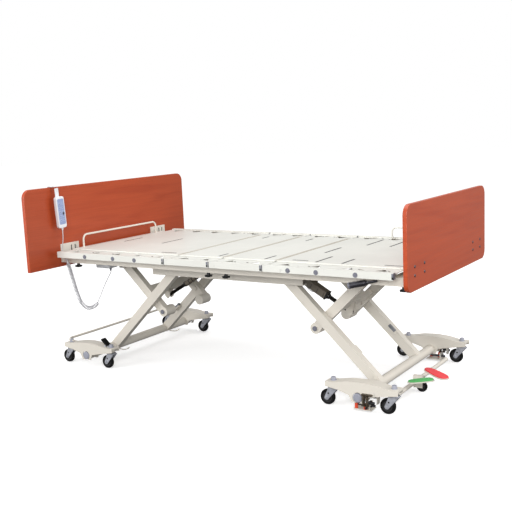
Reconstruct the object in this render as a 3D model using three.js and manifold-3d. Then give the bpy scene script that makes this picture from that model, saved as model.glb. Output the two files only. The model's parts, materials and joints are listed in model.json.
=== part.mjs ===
// Adjustable hospital bed with scissor legs at each end. Millimetres, +Z up.
// X runs from the headboard (-) to the footboard (+), Y from the near side (-) to the far side (+).
// The origin is on the floor, under the middle of the bed's bounding box. Places along X are first
// measured from the middle of the deck frame, and the whole bed is then moved by ORIGIN_SHIFT.
import * as THREE from 'three';
import { mergeVertices } from 'three/addons/utils/BufferGeometryUtils.js';
import Module from 'manifold-3d';

const wasm = await Module();
wasm.setup();

// ---------- driving dimensions ----------
const ORIGIN_SHIFT = 7.53;
const GAP = 0.4; // clearance between touching pieces

// deck sections, along X
const DECK_HEAD = -1047;
const BACK_HINGE = -269;
const THIGH_HINGE = 19;
const KNEE_HINGE = 336;
const DECK_FOOT = 1013;
const DECK_TOP = 672;
const PLATE = 4;
const PANEL_HALF = 400;
const JOINT_GAP = 3; // half of the space between two sections

// sliding side wings
const RAIL_OUT = 534;
const RAIL_THICK = 25;
const RAIL_LOW = 639;
const TUBE_Z = 650;
const TUBE_R = 10;
const SHEET_Z = 662.6;
const SHEET_THICK = 3;

// fixed main frame
const FRAME_OUT = 455;
const FRAME_TUBE = 40;
const FRAME_TOP = 637.6;
const FRAME_LOW = FRAME_TOP - FRAME_TUBE;
const BEAM_OUT = 302;
const BEAM_LOW = 532;

// end boards
const HEADBOARD_IN = -1092;
const HEADBOARD_THICK = 22;
const FOOTBOARD_IN = 1058;
const FOOTBOARD_THICK = 20;
const BRACKET_THICK = 6;
const BRACKET_HALF = 72;
const BRACKET_TOP = 704;
const SLOT_HALF = 4.5;

// scissor lift: pivot P on the frame, crossing C, axle A, roller T
const LIFT_ANGLE = THREE.MathUtils.degToRad(44);
const SHORT_LEG = 300; // P to C, and C to T
const LOWER_LEG = 420; // C to A
const SHORT_TAIL = 87; // C to the tail roller
const PIVOT_Z = 565;
const HEAD_PIVOT_X = -839;
const FOOT_PIVOT_X = 718;
const LEG_DEPTH = 50;
const LONG_Y = [220, 260];
const SHORT_Y = [175, 215];
const AXLE_R = 25;
const AXLE_Z = PIVOT_Z - (SHORT_LEG + LOWER_LEG) * Math.sin(LIFT_ANGLE);
const AXLE_SHIFT = (LOWER_LEG - SHORT_LEG) * Math.cos(LIFT_ANGLE);

// bogies and casters
const BOGIE_Y = 456;
const BOGIE_SHIFT = 16; // beam centre from the axle, towards the foot end
const STEM_HALF = 155; // caster stems from the beam centre
const BOGIE_END_TOP = 124;
const BOGIE_MID_TOP = 141;
const WHEEL_R = 38;
const WHEEL_WIDE = 22;
const TRAIL = -32;

// lift actuators, seen on the foot end and turned end for end at the head
const MOTOR_REACH = 483; // rear pivot of the motor from P, along X
const MOTOR_X_HEAD = HEAD_PIVOT_X + MOTOR_REACH;
const MOTOR_X_FOOT = FOOT_PIVOT_X - MOTOR_REACH;
const MOTOR_Z = 530;
const ROD_END_X = 173; // rod eye from P, along X
const ROD_END_Z = 350;
const ACTUATOR_Y = -20;

// ---------- colours ----------
const FINISH = {
  frame: { color: 0xe9e4da, roughness: 0.42, metalness: 0.1 },
  deck: { color: 0xefece4, roughness: 0.45, metalness: 0.1 },
  board: { color: 0xb4502f, roughness: 0.35, metalness: 0 },
  housing: { color: 0x6f675c, roughness: 0.55, metalness: 0.1 },
  rod: { color: 0x2a2724, roughness: 0.35, metalness: 0.6 },
  zinc: { color: 0xb9bcc2, roughness: 0.35, metalness: 0.9 },
  tyre: { color: 0x1d1d1f, roughness: 0.7, metalness: 0 },
  plastic: { color: 0xe6e7ea, roughness: 0.4, metalness: 0 },
  cord: { color: 0xc9c9cc, roughness: 0.6, metalness: 0 },
  red: { color: 0xf0505a, roughness: 0.5, metalness: 0 },
  green: { color: 0x58b464, roughness: 0.5, metalness: 0 },
};

// ---------- geometry helpers ----------
function toSolid(geometry) {
  const bare = geometry.clone();
  bare.deleteAttribute('normal');
  bare.deleteAttribute('uv');
  const merged = mergeVertices(bare, 1e-3);
  const vertProperties = new Float32Array(merged.attributes.position.array);
  const triVerts = new Uint32Array(merged.index.array);
  return new wasm.Manifold(new wasm.Mesh({ numProp: 3, vertProperties, triVerts }));
}

function toGeometry(body) {
  const mesh = body.getMesh();
  const geometry = new THREE.BufferGeometry();
  geometry.setAttribute('position', new THREE.BufferAttribute(mesh.vertProperties, 3));
  geometry.setIndex(new THREE.BufferAttribute(mesh.triVerts, 1));
  geometry.computeVertexNormals();
  return geometry;
}

function fuse(parts, cuts = []) {
  let body = toSolid(parts[0]);
  for (const part of parts.slice(1)) body = body.add(toSolid(part));
  for (const tool of cuts) body = body.subtract(toSolid(tool));
  return toGeometry(body);
}

function block(x0, x1, y0, y1, z0, z1) {
  const box = new THREE.BoxGeometry(x1 - x0, y1 - y0, z1 - z0);
  return box.translate((x0 + x1) / 2, (y0 + y1) / 2, (z0 + z1) / 2);
}

// The same block on the near and the far side.
function blockPair(x0, x1, y0, y1, z0, z1) {
  return [block(x0, x1, y0, y1, z0, z1), block(x0, x1, -y1, -y0, z0, z1)];
}

function rodY(radius, y0, y1, x, z, sides = 12) {
  return new THREE.CylinderGeometry(radius, radius, y1 - y0, sides).translate(x, (y0 + y1) / 2, z);
}

function rodZ(radius, z0, z1, x, y, sides = 12) {
  const rod = new THREE.CylinderGeometry(radius, radius, z1 - z0, sides).rotateX(Math.PI / 2);
  return rod.translate(x, y, (z0 + z1) / 2);
}

function rodX(radius, x0, x1, y, z, sides = 12) {
  const rod = new THREE.CylinderGeometry(radius, radius, x1 - x0, sides).rotateZ(Math.PI / 2);
  return rod.translate((x0 + x1) / 2, y, z);
}

function outline(points) {
  return new THREE.Shape(points.map(([a, b]) => new THREE.Vector2(a, b)));
}

// A flat plate drawn in X and Y.
function plateXY(shape, z0, z1, curveSegments = 6) {
  const options = { depth: z1 - z0, bevelEnabled: false, curveSegments };
  return new THREE.ExtrudeGeometry(shape, options).translate(0, 0, z0);
}

// A flat plate drawn in X and Z, standing along Y.
function plateXZ(shape, y0, y1, curveSegments = 6) {
  const options = { depth: y1 - y0, bevelEnabled: false, curveSegments };
  return new THREE.ExtrudeGeometry(shape, options).rotateX(Math.PI / 2).translate(0, y1, 0);
}

// A rectangle with rounded corners; radii run from the low-left corner anticlockwise.
function roundedRect(x0, x1, y0, y1, [r0, r1, r2, r3]) {
  const shape = new THREE.Shape();
  shape.moveTo(x0 + r0, y0);
  shape.lineTo(x1 - r1, y0);
  if (r1) shape.absarc(x1 - r1, y0 + r1, r1, -Math.PI / 2, 0);
  shape.lineTo(x1, y1 - r2);
  if (r2) shape.absarc(x1 - r2, y1 - r2, r2, 0, Math.PI / 2);
  shape.lineTo(x0 + r3, y1);
  if (r3) shape.absarc(x0 + r3, y1 - r3, r3, Math.PI / 2, Math.PI);
  shape.lineTo(x0, y0 + r0);
  if (r0) shape.absarc(x0 + r0, y0 + r0, r0, Math.PI, Math.PI * 1.5);
  return shape;
}

// A round bar bent along a path.
function bentBar(path, radius, sides, steps) {
  const section = [];
  for (let i = 0; i < sides; i += 1) {
    const angle = (i / sides) * Math.PI * 2;
    section.push([radius * Math.cos(angle), radius * Math.sin(angle)]);
  }
  const options = { steps, bevelEnabled: false, extrudePath: path };
  return new THREE.ExtrudeGeometry(outline(section), options);
}

function smoothPath(points) {
  return new THREE.CatmullRomCurve3(points.map((p) => new THREE.Vector3(...p)), false, 'centripetal');
}

// A bent-rod hoop: up, across with rounded corners, and down again.
function hoopPoints(from, to, low, high, radius, place) {
  const points = [place(from, low), place(from, (low + high) / 2)];
  for (let i = 0; i <= 3; i += 1) {
    const angle = (i / 3) * (Math.PI / 2);
    points.push(place(from + radius - radius * Math.cos(angle), high - radius + radius * Math.sin(angle)));
  }
  points.push(place((from + to) / 2, high));
  for (let i = 3; i >= 0; i -= 1) {
    const angle = (i / 3) * (Math.PI / 2);
    points.push(place(to - radius + radius * Math.cos(angle), high - radius + radius * Math.sin(angle)));
  }
  points.push(place(to, (low + high) / 2), place(to, low));
  return points;
}

const bed = new THREE.Group();
bed.position.x = ORIGIN_SHIFT;

function add(name, geometry, finish, parent = bed) {
  const mesh = new THREE.Mesh(geometry, new THREE.MeshStandardMaterial(FINISH[finish]));
  mesh.name = name;
  parent.add(mesh);
  return mesh;
}

// ---------- main frame ----------
function mainFrame() {
  const inner = FRAME_OUT - FRAME_TUBE;
  const headEnd = HEADBOARD_IN + BRACKET_THICK + GAP;
  const footEnd = FOOTBOARD_IN - BRACKET_THICK - GAP;
  const parts = [...blockPair(headEnd, footEnd, inner, FRAME_OUT, FRAME_LOW, FRAME_TOP)];
  for (const x of [-1020, HEAD_PIVOT_X, MOTOR_X_HEAD, -60, MOTOR_X_FOOT, 400, FOOT_PIVOT_X, 985]) {
    parts.push(block(x - 20, x + 20, -inner - 1, inner + 1, FRAME_LOW, FRAME_TOP));
  }
  // hangers and pivot shafts of the two lifts
  for (const [x, reach] of [[HEAD_PIVOT_X, 240], [FOOT_PIVOT_X, 350]]) {
    parts.push(...blockPair(x - 22, x + 22, 222, 230, PIVOT_Z - 25, FRAME_LOW + 1));
    parts.push(rodY(15, -reach, reach, x, PIVOT_Z));
  }
  // brackets of the two lift motors
  for (const [x, y] of [[MOTOR_X_FOOT, ACTUATOR_Y], [MOTOR_X_HEAD, ACTUATOR_Y]]) {
    for (const side of [-34, 30]) {
      parts.push(block(x - 20, x + 20, y + side, y + side + 4, MOTOR_Z - 16, FRAME_LOW + 1));
    }
    parts.push(block(x - 20, x + 20, y - 34, y + 34, FRAME_LOW - 6, FRAME_LOW + 1));
  }
  return fuse(parts);
}

// Slotted plate between a side tube's end and a board, drawn about its middle.
function boardBracket() {
  const plate = block(0, BRACKET_THICK - GAP, -BRACKET_HALF, BRACKET_HALF, FRAME_LOW, BRACKET_TOP);
  const slots = [12, 42].map((y) => block(-1, BRACKET_THICK, y - SLOT_HALF, y + SLOT_HALF, 650, 690));
  return fuse([plate], slots);
}

// C-shaped beam that the upper leg rollers run in, open towards the middle of the bed.
function trackBeam() {
  const shape = outline([
    [-BEAM_OUT, BEAM_LOW], [-262, BEAM_LOW], [-262, BEAM_LOW + 5], [-BEAM_OUT + 4, BEAM_LOW + 5],
    [-BEAM_OUT + 4, 592], [-262, 592], [-262, FRAME_LOW - GAP], [-BEAM_OUT, FRAME_LOW - GAP],
  ]);
  const options = { depth: 425 + 544, bevelEnabled: false };
  const beam = new THREE.ExtrudeGeometry(shape, options);
  return beam.rotateX(Math.PI / 2).rotateZ(Math.PI / 2).translate(-544, 0, 0);
}

add('main_frame', mainFrame(), 'frame');
for (const [place, faceX, middleY] of [
  ['head_near', HEADBOARD_IN + GAP, -392], ['head_far', HEADBOARD_IN + GAP, 408],
  ['foot_near', FOOTBOARD_IN - BRACKET_THICK, -408], ['foot_far', FOOTBOARD_IN - BRACKET_THICK, 408],
]) {
  add(`board_bracket_${place}`, boardBracket(), 'frame').position.set(faceX, middleY, 0);
}
add('track_beam_near', trackBeam(), 'frame');
const farBeam = add('track_beam_far', trackBeam().rotateZ(Math.PI), 'frame');
farBeam.position.x = 425 - 544;

// ---------- end boards ----------
function board(halfWidth, low, high, radii, thickness) {
  const shape = roundedRect(-halfWidth, halfWidth, low, high, radii);
  const panel = new THREE.ExtrudeGeometry(shape, { depth: thickness, bevelEnabled: false, curveSegments: 6 });
  return panel.rotateX(Math.PI / 2).rotateZ(Math.PI / 2);
}

const headboard = add('headboard', board(701.5, 573, 1035, [0, 0, 50, 50], HEADBOARD_THICK), 'board');
headboard.position.x = HEADBOARD_IN - HEADBOARD_THICK;
const footboard = add('footboard', board(531, 581, 969, [45, 45, 50, 50], FOOTBOARD_THICK), 'board');
footboard.position.x = FOOTBOARD_IN;

// ---------- deck sections ----------
// Each slot is [x, y, half length along x, half length along y].
const SECTIONS = {
  back: {
    span: [DECK_HEAD, BACK_HINGE - JOINT_GAP],
    tubes: [-832, -623, -469],
    slots: [[-947, 6, 4, 82], [-652, 22, 4, 98], [-371, -359, 50, 4]],
  },
  seat: {
    span: [BACK_HINGE + JOINT_GAP, THIGH_HINGE - JOINT_GAP],
    tubes: [-205, -45],
    slots: [[-27, -332, 4, 40], [-171, 306, 4, 35]],
  },
  thigh: {
    span: [THIGH_HINGE + JOINT_GAP, KNEE_HINGE - JOINT_GAP],
    tubes: [85, 292],
    slots: [[258, -326, 4, 53], [138, 288, 4, 39]],
  },
  foot: {
    span: [KNEE_HINGE + JOINT_GAP, DECK_FOOT],
    tubes: [481, 631, 831],
    slots: [
      [453, -20, 4, 90], [548, -297, 4, 84], [548, 296, 4, 107], [688, -314, 4, 66],
      [688, 262, 4, 88], [451, -359, 42, 4], [943, -359, 46, 4],
    ],
  },
};

function deckPanel({ span: [x0, x1], tubes, slots }) {
  const parts = [block(x0, x1, -PANEL_HALF, PANEL_HALF, DECK_TOP - PLATE, DECK_TOP)];
  const cuts = slots.map(([x, y, dx, dy]) => (
    block(x - dx, x + dx, y - dy, y + dy, DECK_TOP - PLATE - 1, DECK_TOP + 1)
  ));
  parts.push(...blockPair(x0, x1, 200, 230, RAIL_LOW, DECK_TOP - PLATE + 0.5));
  for (const x of tubes) {
    parts.push(block(x - 13, x + 13, -395, 395, FRAME_TOP + 0.6, 662));
    cuts.push(block(x - 10.8, x + 10.8, -400, 400, TUBE_Z - 10.8, TUBE_Z + 10.8));
  }
  return fuse(parts, cuts);
}

// A wing: outer rail, sheet with triangular openings, and round tubes that slide into the panel.
function deckWing({ span: [x0, x1], tubes }) {
  const outer = RAIL_OUT - RAIL_THICK;
  const parts = [
    block(x0 + 0.5, x1 - 0.5, -RAIL_OUT, -outer, RAIL_LOW, DECK_TOP),
    block(x0 + 1, x1 - 1, -outer - 1, -330, SHEET_Z, SHEET_Z + SHEET_THICK),
  ];
  for (const x of tubes) parts.push(rodY(TUBE_R, -outer - 2, -250, x, TUBE_Z, 12));
  const bays = Math.round((x1 - x0) / 160);
  const pitch = (x1 - x0) / bays;
  const cuts = [];
  for (let i = 0; i < bays; i += 1) {
    const mid = x0 + pitch * (i + 0.5);
    const bay = outline([[mid - 42, -495], [mid + 42, -495], [mid, -425]]);
    cuts.push(plateXY(bay, SHEET_Z - 0.3, SHEET_Z + SHEET_THICK + 1));
  }
  return fuse(parts, cuts);
}

function mirroredWing(section) {
  const reversed = {
    span: [-section.span[1], -section.span[0]],
    tubes: section.tubes.map((x) => -x),
  };
  return deckWing(reversed).rotateZ(Math.PI);
}

// Retainer hoop that keeps the mattress in, standing on the far foot wing.
function sideRetainer() {
  const place = (along, z) => [along, 490, z];
  return bentBar(smoothPath(hoopPoints(562, 842, SHEET_Z + 1, 730, 22, place)), 5.5, 6, 22);
}

for (const [name, section] of Object.entries(SECTIONS)) {
  add(`${name}_panel`, deckPanel(section), 'deck');
  add(`${name}_wing_near`, deckWing(section), 'deck');
  const far = mirroredWing(section);
  add(`${name}_wing_far`, name === 'foot' ? fuse([far, sideRetainer()]) : far, 'deck');
}

const headHoop = hoopPoints(-336, 320, DECK_TOP + GAP, 745, 30, (along, z) => [-1030, along, z]);
add('head_retainer', bentBar(smoothPath(headHoop), 5.5, 6, 26), 'frame');

// ---------- scissor lifts ----------
// One lift is drawn with its frame pivot over x = 0 and its axle on the -x side. The head end uses it
// as drawn; the foot end is the same weldment turned end for end.
const CROSS = [SHORT_LEG * Math.cos(LIFT_ANGLE), PIVOT_Z - SHORT_LEG * Math.sin(LIFT_ANGLE)];

// Long frame, drawn about the crossing with +x towards the roller.
function longFrame() {
  const parts = [
    ...blockPair(-LOWER_LEG, SHORT_LEG, ...LONG_Y, -LEG_DEPTH / 2, LEG_DEPTH / 2),
    rodY(AXLE_R, -478, 478, -LOWER_LEG, 0, 16),
  ];
  for (const side of [-1, 1]) {
    const y = (a, b) => (side > 0 ? [a, b] : [-b, -a]);
    parts.push(rodY(LEG_DEPTH / 2, ...y(...LONG_Y), SHORT_LEG, 0));
    parts.push(rodY(10, ...y(255, 270), SHORT_LEG, 0, 8));
    parts.push(rodY(24, ...y(265, 293), SHORT_LEG, 0, 16));
    parts.push(rodY(14, ...y(168, 225), 0, 0));
    // bumper bracket on the lower half of the leg
    parts.push(block(-250, -200, ...y(196, 221), 12, 18));
  }
  return fuse(parts);
}

// Short frame, drawn about the frame pivot with +x towards the crossing.
function shortFrame(clevisY) {
  const legs = blockPair(0, SHORT_LEG + SHORT_TAIL, ...SHORT_Y, -LEG_DEPTH / 2, LEG_DEPTH / 2);
  const parts = [...legs, block(SHORT_LEG - 100, SHORT_LEG - 41, -190, 190, -13, 15)];
  const tail = SHORT_LEG + SHORT_TAIL;
  for (const side of [-1, 1]) {
    const y = (a, b) => (side > 0 ? [a, b] : [-b, -a]);
    parts.push(rodY(LEG_DEPTH / 2, ...y(...SHORT_Y), 0, 0));
    parts.push(rodY(30, ...y(130, SHORT_Y[1]), tail, 0, 14));
    parts.push(rodY(13, ...y(SHORT_Y[1] - 1, 219), tail, 0, 8));
  }
  for (const y of [clevisY - 20, clevisY + 15]) {
    const cheek = outline([
      [SHORT_LEG - 90, -10], [ROD_PIN[0] - 12, ROD_PIN[1] - 15], [ROD_PIN[0] + 14, ROD_PIN[1] - 15],
      [ROD_PIN[0] + 17, ROD_PIN[1] + 10], [SHORT_LEG - 42, 5],
    ]);
    parts.push(plateXZ(cheek, y, y + 5));
  }
  const bores = [rodY(16, -300, 300, 0, 0)];
  for (const y of [-SHORT_Y[1] - 5, 160]) bores.push(rodY(15, y, y + 60, SHORT_LEG, 0));
  return fuse(parts, bores);
}

// The rod end's place in the short frame's own axes (x along the leg, z square to it).
const ROD_PIN = (() => {
  const dx = ROD_END_X;
  const dz = PIVOT_Z - ROD_END_Z;
  const c = Math.cos(LIFT_ANGLE);
  const s = Math.sin(LIFT_ANGLE);
  return [dx * c + dz * s, dx * s - dz * c];
})();

function buildLift(prefix, turned) {
  const lift = new THREE.Group();
  lift.position.x = turned ? FOOT_PIVOT_X : HEAD_PIVOT_X;
  lift.rotation.z = turned ? Math.PI : 0;
  bed.add(lift);
  const long = add(`${prefix}_long_frame`, longFrame(), 'frame', lift);
  long.position.set(CROSS[0], 0, CROSS[1]);
  long.rotation.y = -LIFT_ANGLE;
  const short = add(`${prefix}_short_frame`, shortFrame(turned ? -ACTUATOR_Y : ACTUATOR_Y), 'frame', lift);
  short.position.z = PIVOT_Z;
  short.rotation.y = LIFT_ANGLE;
}

buildLift('head', false);
buildLift('foot', true);

// ---------- bogies ----------
// Drawn about the middle of the beam, with the axle hole at axleX.
function bogie(axleX) {
  const end = STEM_HALF + 30;
  const top = new THREE.Shape();
  top.moveTo(-end, BOGIE_END_TOP - 10);
  top.lineTo(-end, BOGIE_END_TOP);
  top.lineTo(-STEM_HALF + 15, BOGIE_END_TOP);
  top.quadraticCurveTo(0, 2 * BOGIE_MID_TOP - BOGIE_END_TOP, STEM_HALF - 15, BOGIE_END_TOP);
  top.lineTo(end, BOGIE_END_TOP);
  top.lineTo(end, BOGIE_END_TOP - 10);
  top.lineTo(STEM_HALF - 15, BOGIE_END_TOP - 10);
  top.quadraticCurveTo(0, 2 * BOGIE_MID_TOP - BOGIE_END_TOP - 14, -STEM_HALF + 15, BOGIE_END_TOP - 10);
  const web = outline([
    [-end, BOGIE_END_TOP - 4], [-end, BOGIE_END_TOP - 24], [-STEM_HALF + 35, BOGIE_END_TOP - 34],
    [axleX - 46, 72], [axleX - 30, 40], [axleX + 30, 40], [axleX + 46, 72],
    [STEM_HALF - 35, BOGIE_END_TOP - 34], [end, BOGIE_END_TOP - 24], [end, BOGIE_END_TOP - 4],
    [STEM_HALF - 20, BOGIE_END_TOP - 2], [70, BOGIE_MID_TOP - 8], [-70, BOGIE_MID_TOP - 8],
    [-STEM_HALF + 20, BOGIE_END_TOP - 2],
  ]);
  const parts = [plateXZ(top, -33, 33, 4), plateXZ(web, -33, -28), plateXZ(web, 28, 33)];
  for (const x of [-STEM_HALF, STEM_HALF]) parts.push(rodZ(17, 96, BOGIE_END_TOP - 2, x, 0));
  return fuse(parts, [rodY(AXLE_R + 1.2, -60, 60, axleX, AXLE_Z, 16)]);
}

// ---------- casters ----------
function casterWheel(radius, width, bore) {
  const half = width / 2;
  const profile = [
    [bore, -half], [radius * 0.94, -half], [radius, -half * 0.5],
    [radius, half * 0.5], [radius * 0.94, half], [bore, half], [bore, -half],
  ];
  return new THREE.LatheGeometry(profile.map(([r, y]) => new THREE.Vector2(r, y)), 16);
}

// Swivel fork, drawn about the wheel's axle with the stem at -TRAIL.
function casterFork() {
  const cheek = outline([
    [-13, -6], [9, -13], [16, 0], [-TRAIL + 20, 46], [-TRAIL + 20, 51], [-TRAIL - 22, 51],
  ]);
  const parts = [
    plateXZ(cheek, -17, -14), plateXZ(cheek, 14, 17),
    block(-TRAIL - 22, -TRAIL + 20, -17, 17, 48, 52),
    rodZ(22, 50, 57.5, -TRAIL, 0, 14),
    rodY(4, -19, 19, 0, 0, 8),
  ];
  return fuse(parts);
}

const SIDES = { near: -1, far: 1 };

function buildBase(prefix, axle, axleInBogie) {
  const centre = axle + BOGIE_SHIFT;
  for (const [sideName, side] of Object.entries(SIDES)) {
    const beam = add(`${prefix}_bogie_${sideName}`, bogie(axleInBogie), 'frame');
    beam.position.set(centre, side * BOGIE_Y, 0);
    for (const [endName, x] of [['head', -STEM_HALF], ['foot', STEM_HALF]]) {
      const label = `${prefix}_${endName}_${sideName}`;
      const caster = new THREE.Group();
      caster.position.set(centre + x + TRAIL, side * BOGIE_Y, WHEEL_R);
      bed.add(caster);
      add(`fork_${label}`, casterFork(), 'zinc', caster);
      add(`wheel_${label}`, casterWheel(WHEEL_R, WHEEL_WIDE, 5), 'tyre', caster);
    }
  }
}

const HEAD_AXLE = HEAD_PIVOT_X - AXLE_SHIFT;
const FOOT_AXLE = FOOT_PIVOT_X + AXLE_SHIFT;
buildBase('head', HEAD_AXLE, -BOGIE_SHIFT);
buildBase('foot', FOOT_AXLE, -BOGIE_SHIFT);

// ---------- head tie bar and steering pedals ----------
const HEAD_TIE_X = HEAD_AXLE + BOGIE_SHIFT - STEM_HALF - 30;
const tiePath = smoothPath([
  [HEAD_TIE_X + 40, -BOGIE_Y, 133], [HEAD_TIE_X, -BOGIE_Y + 14, 133], [HEAD_TIE_X - 22, -BOGIE_Y + 60, 131],
  [HEAD_TIE_X - 24, -300, 130], [HEAD_TIE_X - 24, 0, 130], [HEAD_TIE_X - 24, 300, 130],
  [HEAD_TIE_X - 22, BOGIE_Y - 60, 131], [HEAD_TIE_X, BOGIE_Y - 14, 133], [HEAD_TIE_X + 40, BOGIE_Y, 133],
]);
add('head_tie_bar', bentBar(tiePath, 7.5, 8, 20), 'frame');

const PEDAL_X = 933;
const PEDAL_Z = 50;
const STEER_X = 963;
const STEER_Y = -94;

function pedalBar() {
  const parts = [
    rodY(11, -330, 330, PEDAL_X, PEDAL_Z, 12),
    block(PEDAL_X - 8, STEER_X + 8, STEER_Y - 18, STEER_Y - 14, 22, PEDAL_Z + 14),
    block(PEDAL_X - 8, STEER_X + 8, STEER_Y + 14, STEER_Y + 18, 22, PEDAL_Z + 14),
    block(PEDAL_X - 8, STEER_X + 8, STEER_Y - 18, STEER_Y + 18, PEDAL_Z + 9, PEDAL_Z + 14),
    block(PEDAL_X - 10, PEDAL_X + 44, -112, -92, PEDAL_Z + 10, PEDAL_Z + 34),
    rodY(4, STEER_Y - 19, STEER_Y + 19, STEER_X, 27, 8),
  ];
  return fuse(parts);
}

// Oblong foot pad of the pedal, drawn flat about its own middle.
function footPad(length, width) {
  const radius = width / 2 - 1;
  const shape = roundedRect(-length / 2, length / 2, -width / 2, width / 2, [radius, radius, radius, radius]);
  return plateXY(shape, -6, 6, 6);
}

add('pedal_bar', pedalBar(), 'frame');
const green = add('pedal_green', footPad(132, 58), 'green');
green.position.set(998, -196, PEDAL_Z + 40.6);
green.rotation.z = THREE.MathUtils.degToRad(44);
const red = add('pedal_red', footPad(190, 66), 'red');
red.position.set(1037, -98, PEDAL_Z + 53.2);
red.rotation.z = THREE.MathUtils.degToRad(-38);
const steer = add('steer_wheel', casterWheel(27, 20, 5), 'tyre');
steer.position.set(STEER_X, STEER_Y, 27);

// ---------- actuators ----------
// A linear actuator: a motor housing hung by its rear pivot and a rod that runs out of its tube.
// Both are drawn along +x from the rear pivot; reach is the distance to the rod's eye.
const HOUSING_LENGTH = 212;
const ROD_START = 165;
const ROD_R = 11.5;

function motorHousing() {
  const parts = [
    block(-14, 120, -26, 26, -24, 30),
    block(60, HOUSING_LENGTH, -22, 22, -20, 20),
    rodX(24, 20, 110, 0, -38, 14),
  ];
  return fuse(parts, [rodX(ROD_R + 1, 36, HOUSING_LENGTH + 10, 0, 0)]);
}

function actuatorRod(reach) {
  return fuse([rodX(ROD_R, ROD_START, reach, 0, 0, 14), rodY(12, -11, 11, reach, 0, 14)]);
}

function buildActuator(prefix, [x0, z0], [x1, z1]) {
  const actuator = new THREE.Group();
  const reach = Math.hypot(x1 - x0, z1 - z0);
  actuator.position.set(x0, ACTUATOR_Y, z0);
  const turned = x1 < x0;
  actuator.rotation.order = 'ZYX';
  actuator.rotation.z = turned ? Math.PI : 0;
  actuator.rotation.y = -Math.atan2(z1 - z0, Math.abs(x1 - x0));
  bed.add(actuator);
  add(`${prefix}_motor`, motorHousing(), 'housing', actuator);
  add(`${prefix}_rod`, actuatorRod(reach), 'rod', actuator);
}

buildActuator('head_lift', [MOTOR_X_HEAD, MOTOR_Z], [HEAD_PIVOT_X + ROD_END_X, ROD_END_Z]);
buildActuator('foot_lift', [MOTOR_X_FOOT, MOTOR_Z], [FOOT_PIVOT_X - ROD_END_X, ROD_END_Z]);

// ---------- hand control and its cord ----------
const BOX_X = [-965, -858];
const BOX_Y = [-316, -244];
add('control_box', block(...BOX_X, ...BOX_Y, 548, FRAME_LOW - GAP), 'plastic');

const HANDSET_X = -1063;
const HANDSET_Y = -489;
function handset() {
  const face = roundedRect(-31, 31, 0, 180, [12, 12, 14, 14]);
  const body = new THREE.ExtrudeGeometry(face, { depth: 24, bevelEnabled: false, curveSegments: 4 });
  body.rotateX(Math.PI / 2).rotateZ(Math.PI / 2);
  const hook = [
    block(-HOOK_BACK, 4, -16, 16, 235, 239), block(-HOOK_BACK, 4 - HOOK_BACK, -16, 16, 205, 239),
    block(0, 4, -16, 16, 170, 239), block(0, 12, -10, 10, 160, 178),
  ];
  return fuse([body, ...hook]);
}
const HOOK_BACK = 56;

const handsetMesh = add('handset', handset(), 'plastic');
handsetMesh.position.set(HANDSET_X, HANDSET_Y, 802);

const CORD_R = 3.5;
const COIL_R = 12;
const upperLead = [
  [-1051, -489, 801.6], [-1051, -489, 770], [-1053, -487, 735], [-1059, -484, 700], [-1063, -482, 672],
  [-1058, -480, 648], [-1044, -478, 624], [-1031, -476, 602],
];
const coilRoute = [
  [-1030.8, -475.9, 601.6], [-1027, -475, 594], [-1019, -472, 562], [-1006, -467, 500], [-991, -460, 430],
  [-975, -450, 372], [-940, -436, 335], [-905, -417, 341], [-890, -404.5, 358], [-888, -401, 365],
];
const lowerLead = [
  [-887.9, -400.8, 365.5], [-885.9, -397.3, 372.3], [-880, -382, 402], [-876, -352, 450],
  [-875, -318, 492], [-874, -292, 520], [-874, -290, 534], [-874, -290, 547.5],
];
add('cord_lead_upper', bentBar(smoothPath(upperLead), CORD_R, 8, 16), 'cord');
add('cord_coil', bentBar(smoothPath(coilRoute), COIL_R, 8, 14), 'cord');
add('cord_lead_lower', bentBar(smoothPath(lowerLead), CORD_R, 8, 14), 'cord');

export default bed;
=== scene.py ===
"""Looks of the adjustable hospital bed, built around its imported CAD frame. Metres, +Z up."""
import json
import math

import bmesh
import bpy
from mathutils import Matrix, Vector


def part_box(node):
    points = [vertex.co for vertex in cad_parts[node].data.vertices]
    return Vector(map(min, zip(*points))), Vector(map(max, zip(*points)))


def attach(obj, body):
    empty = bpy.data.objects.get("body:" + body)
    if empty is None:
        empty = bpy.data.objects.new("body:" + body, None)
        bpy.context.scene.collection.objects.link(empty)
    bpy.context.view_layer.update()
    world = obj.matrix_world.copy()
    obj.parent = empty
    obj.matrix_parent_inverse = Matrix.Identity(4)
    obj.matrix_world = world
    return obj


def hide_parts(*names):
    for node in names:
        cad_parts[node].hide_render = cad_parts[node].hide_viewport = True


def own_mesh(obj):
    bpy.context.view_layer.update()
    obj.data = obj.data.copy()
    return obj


MM = 0.001
ORIGIN_SHIFT = 7.53  # deck middle to the row frame's origin, along X, in mm

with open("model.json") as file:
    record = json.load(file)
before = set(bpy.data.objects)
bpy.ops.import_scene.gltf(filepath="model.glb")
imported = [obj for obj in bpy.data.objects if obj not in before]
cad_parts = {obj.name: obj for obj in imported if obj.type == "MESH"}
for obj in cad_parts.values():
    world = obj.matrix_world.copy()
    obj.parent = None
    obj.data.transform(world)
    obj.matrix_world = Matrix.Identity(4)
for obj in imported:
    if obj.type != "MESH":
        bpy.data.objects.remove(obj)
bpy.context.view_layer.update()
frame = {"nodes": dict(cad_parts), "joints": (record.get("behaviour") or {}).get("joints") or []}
JOINTS = {joint["name"]: joint for joint in frame["joints"]}
ENDS = ("head", "foot")
SIDES = {"near": -1, "far": 1}


def place(x, y, z):
    """A point measured in mm from the middle of the deck, in metres of the row frame."""
    return Vector((x + ORIGIN_SHIFT, y, z)) * MM


def pivot(joint):
    return Vector(JOINTS[joint]["pos_m"])


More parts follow.
